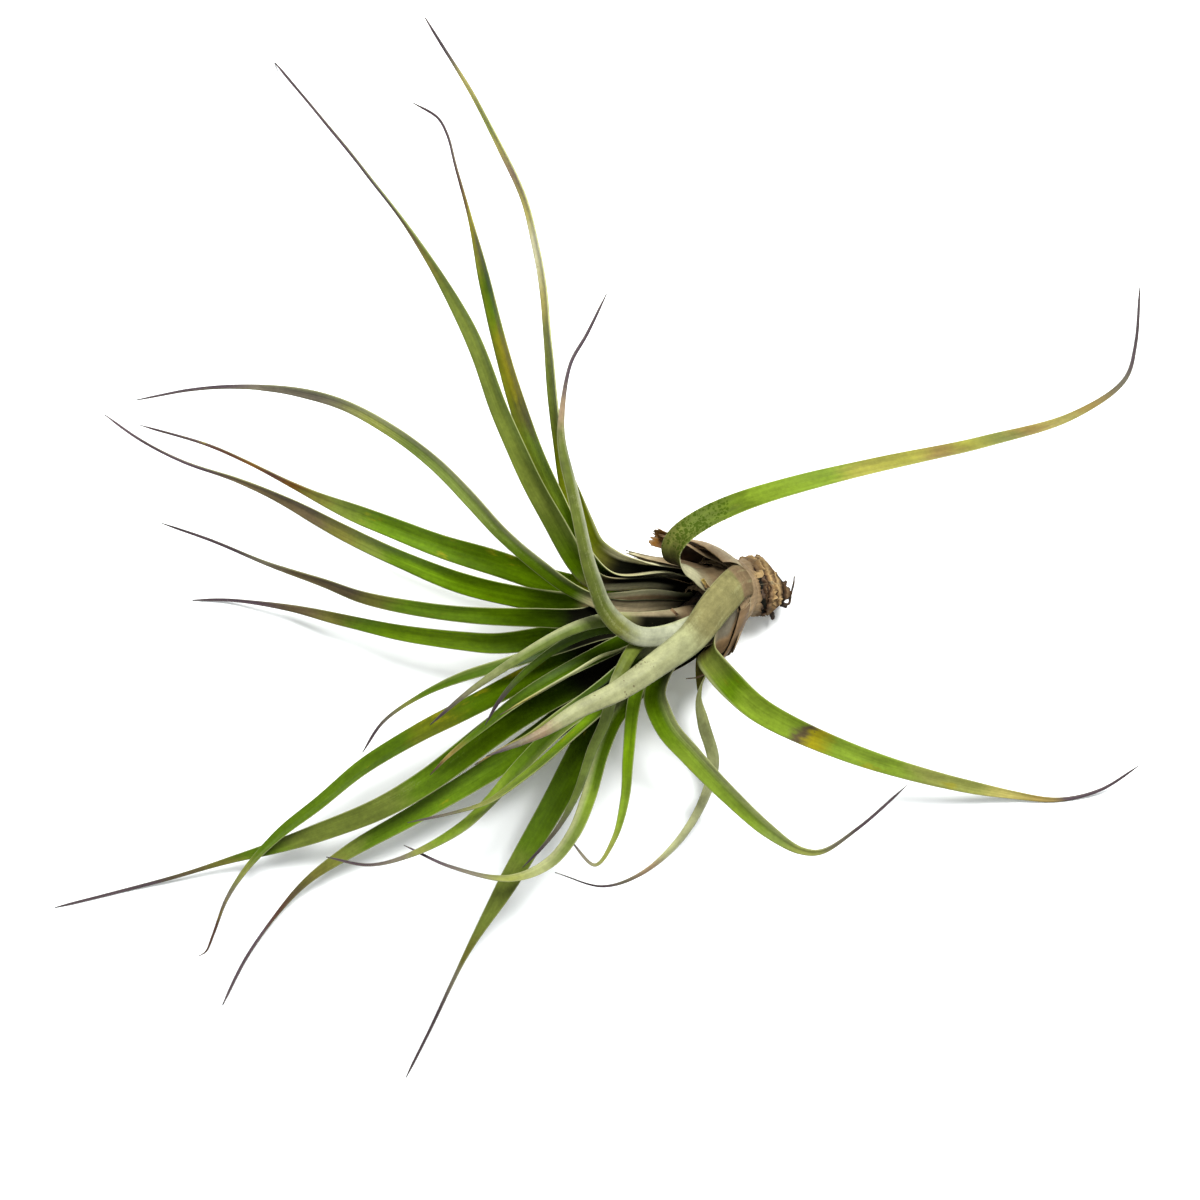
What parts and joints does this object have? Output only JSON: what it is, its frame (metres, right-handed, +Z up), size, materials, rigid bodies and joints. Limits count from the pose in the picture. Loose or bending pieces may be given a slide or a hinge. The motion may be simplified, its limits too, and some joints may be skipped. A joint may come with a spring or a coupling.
{
  "type": "tillandsia air plant",
  "caption": "Tillandsia fasciculata air plant lying on its side: a cut stump, sheaths in cups and a spray of long curling channelled leaves.",
  "frame": {"origin": "middle of the flat spot that the cut stump rests on, at table height", "axes": "+Z up from the table; +X along the table from the tips of the spray towards the cut end; +Y to its left, seen from above"},
  "size_m": [0.4333, 0.4209, 0.1041],
  "materials": {
    "leaf": "matt green leaf with yellow and olive patches, pale margins and a purple-grey tip",
    "pale_leaf": "matt grey-green leaf with a bloom of fine scales, seen from its back",
    "husk": "dry taupe and brown sheath, papery at its margins",
    "stem": "rough brown stump with rings of leaf scars"
  },
  "bodies": {
    "root": {"stem": "stem", "cut_leaf": "husk", "husk_under": "husk", "husk_side": "husk", "torn_sheath": "husk", "leaf_01": "leaf", "leaf_02": "leaf", "leaf_03": "leaf", "leaf_04": "pale_leaf", "leaf_05": "leaf", "leaf_06": "leaf", "leaf_07": "leaf", "leaf_08": "leaf", "leaf_09": "leaf", "leaf_10": "leaf", "leaf_11": "pale_leaf", "leaf_12": "leaf", "leaf_13": "leaf", "leaf_14": "leaf", "leaf_15": "leaf", "leaf_16": "leaf", "leaf_17": "leaf", "leaf_18": "leaf", "leaf_19": "leaf", "leaf_20": "leaf", "leaf_21": "leaf", "leaf_22": "pale_leaf", "leaf_23": "leaf", "leaf_24": "leaf", "leaf_25": "leaf", "leaf_26": "pale_leaf", "leaf_27": "pale_leaf", "leaf_28": "leaf", "leaf_29": "pale_leaf"}
  },
  "joints": []
}
